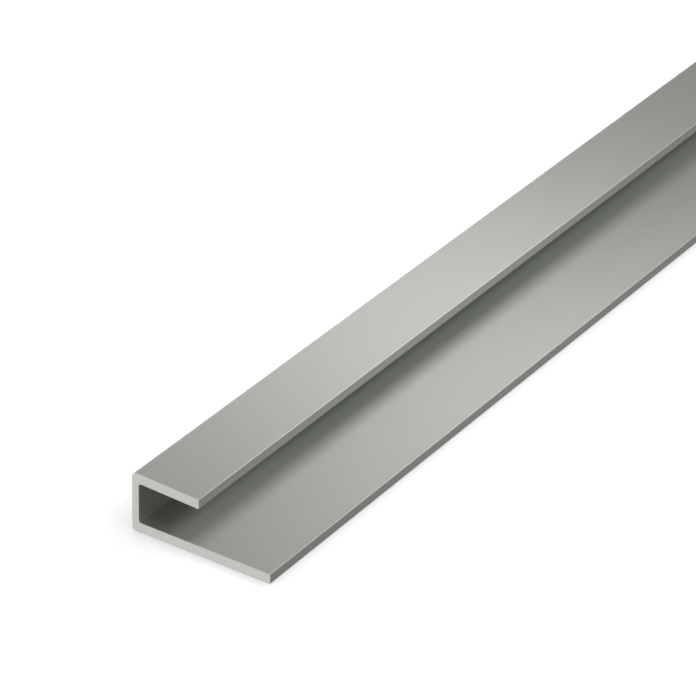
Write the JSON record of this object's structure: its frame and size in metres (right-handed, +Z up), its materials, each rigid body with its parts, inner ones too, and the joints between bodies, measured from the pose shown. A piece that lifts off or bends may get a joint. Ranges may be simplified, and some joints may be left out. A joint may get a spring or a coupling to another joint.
{
  "type": "unequal-leg u-profile",
  "caption": "Straight extruded U-profile, silver grey. A thin web joins a wide fixing leg and a narrow front leg that leans in, so the channel between them grips the edge of a panel.",
  "frame": {"origin": "middle of the underside: half way along the length, half way across the fixing leg, on its lower face", "axes": "+Y along the length, +X from the web towards the open side of the channel, +Z up out of the fixing leg"},
  "size_m": [0.022, 1, 0.009],
  "materials": {
    "silver_grey_pvc": "smooth extruded rigid PVC, silver grey, satin sheen"
  },
  "bodies": {
    "root": {"u_profile": "silver_grey_pvc"}
  },
  "joints": []
}
